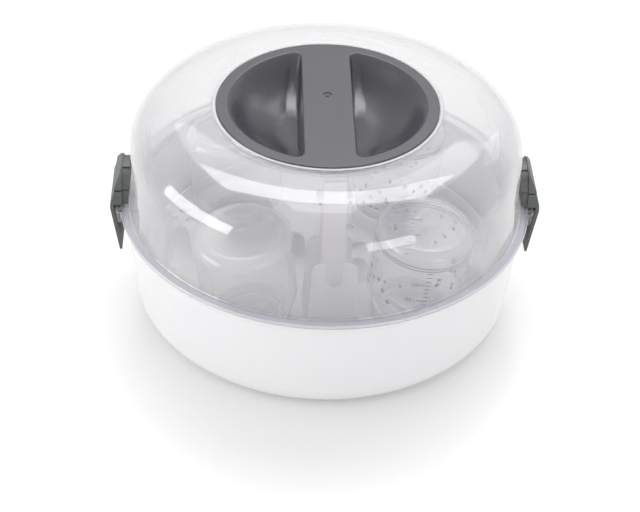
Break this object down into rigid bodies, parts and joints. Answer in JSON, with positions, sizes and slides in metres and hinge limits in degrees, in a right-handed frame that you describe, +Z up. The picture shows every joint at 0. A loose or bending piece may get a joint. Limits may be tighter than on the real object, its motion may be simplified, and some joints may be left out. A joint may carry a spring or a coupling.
{
  "type": "microwave bottle sterilizer",
  "caption": "Round microwave steam sterilizer: white bowl, clear domed lid with sunk handle and side latches, rack with upturned bottles and tongs.",
  "frame": {"origin": "centre of the bowl's underside, on the surface it stands on", "axes": "+Z up, +X towards the right-hand latch, -Y towards the front of the picture; the handle's grip runs along Y"},
  "size_m": [0.2906, 0.28, 0.155],
  "materials": {
    "bowl_white": "glossy white moulded plastic",
    "rack_translucent": "milky translucent moulded plastic",
    "lid_clear": "clear polished plastic with a faint grey tint",
    "handle_grey": "satin grey moulded plastic",
    "latch_grey": "satin dark grey moulded plastic",
    "tongs_translucent": "milky translucent moulded plastic",
    "bottle_frosted": "frosted plastic",
    "bottle_clear": null
  },
  "bodies": {
    "base": {"base_bowl": "bowl_white"},
    "lid": {"lid_dome": "lid_clear", "handle_dish": "handle_grey", "latch_pin_left": "latch_grey", "latch_pin_right": "latch_grey"},
    "latch_left": {"latch_left": "latch_grey"},
    "latch_right": {"latch_right": "latch_grey"},
    "rack": {"bottle_rack": "rack_translucent"},
    "tongs": {"tong_block": "tongs_translucent"},
    "tong_front": {"tong_arm_front": "tongs_translucent"},
    "tong_back": {"tong_arm_back": "tongs_translucent"},
    "bottle_front_left": {"bottle_front_left": "bottle_frosted"},
    "bottle_front_right": {"bottle_front_right": "bottle_clear"},
    "bottle_back_right": {"bottle_back_right": "bottle_clear"},
    "bottle_back_left": {"bottle_back_left": "bottle_frosted"}
  },
  "joints": [
    {"name": "lid_lift", "type": "slide", "parent": "base", "child": "lid", "axis": [0, 0, 1], "range_m": [0, 0.3]},
    {"name": "latch_right_swing", "type": "hinge", "parent": "lid", "child": "latch_right", "pos_m": [0.139, 0, 0.0801], "axis": [0, -1, 0], "range_deg": [0, 10], "stiffness_Nm_per_rad": 0.5, "springref_deg": -2.86},
    {"name": "latch_left_swing", "type": "hinge", "parent": "lid", "child": "latch_left", "pos_m": [-0.139, 0, 0.0801], "axis": [0, 1, 0], "range_deg": [0, 10], "stiffness_Nm_per_rad": 0.5, "springref_deg": -2.86},
    {"name": "rack_lift", "type": "slide", "parent": "base", "child": "rack", "axis": [0, 0, 1], "range_m": [0, 0.09]},
    {"name": "tongs_lift", "type": "slide", "parent": "rack", "child": "tongs", "axis": [0, 0, 1], "range_m": [0, 0.105]},
    {"name": "bottle_front_left_lift", "type": "slide", "parent": "rack", "child": "bottle_front_left", "axis": [-0.0791, -0.0927, 0.9925], "range_m": [0, 0.075]},
    {"name": "bottle_front_right_lift", "type": "slide", "parent": "rack", "child": "bottle_front_right", "axis": [0.0927, -0.0791, 0.9925], "range_m": [0, 0.075]},
    {"name": "bottle_back_right_lift", "type": "slide", "parent": "rack", "child": "bottle_back_right", "axis": [0.0791, 0.0927, 0.9925], "range_m": [0, 0.075]},
    {"name": "bottle_back_left_lift", "type": "slide", "parent": "rack", "child": "bottle_back_left", "axis": [-0.0927, 0.0791, 0.9925], "range_m": [0, 0.075]},
    {"name": "tong_front_squeeze", "type": "hinge", "parent": "tongs", "child": "tong_front", "pos_m": [0.00435, -0.05533, 0.114], "axis": [0.9969, 0.0785, 0], "range_deg": [0, 4.5], "stiffness_Nm_per_rad": 0.6},
    {"name": "tong_back_squeeze", "type": "hinge", "parent": "tongs", "child": "tong_back", "pos_m": [0.00349, -0.04436, 0.114], "axis": [0.9969, 0.0785, 0], "range_deg": [-4.5, 0], "stiffness_Nm_per_rad": 0.6}
  ],
  "couplings": [
    {"joint": "rack_lift", "follows": "lid_lift", "ratio": 0.3},
    {"joint": "tongs_lift", "follows": "lid_lift", "ratio": 0.35},
    {"joint": "bottle_front_left_lift", "follows": "lid_lift", "ratio": 0.25},
    {"joint": "bottle_front_right_lift", "follows": "lid_lift", "ratio": 0.25},
    {"joint": "bottle_back_right_lift", "follows": "lid_lift", "ratio": 0.25},
    {"joint": "bottle_back_left_lift", "follows": "lid_lift", "ratio": 0.25},
    {"joint": "tong_back_squeeze", "follows": "tong_front_squeeze", "ratio": -1}
  ]
}
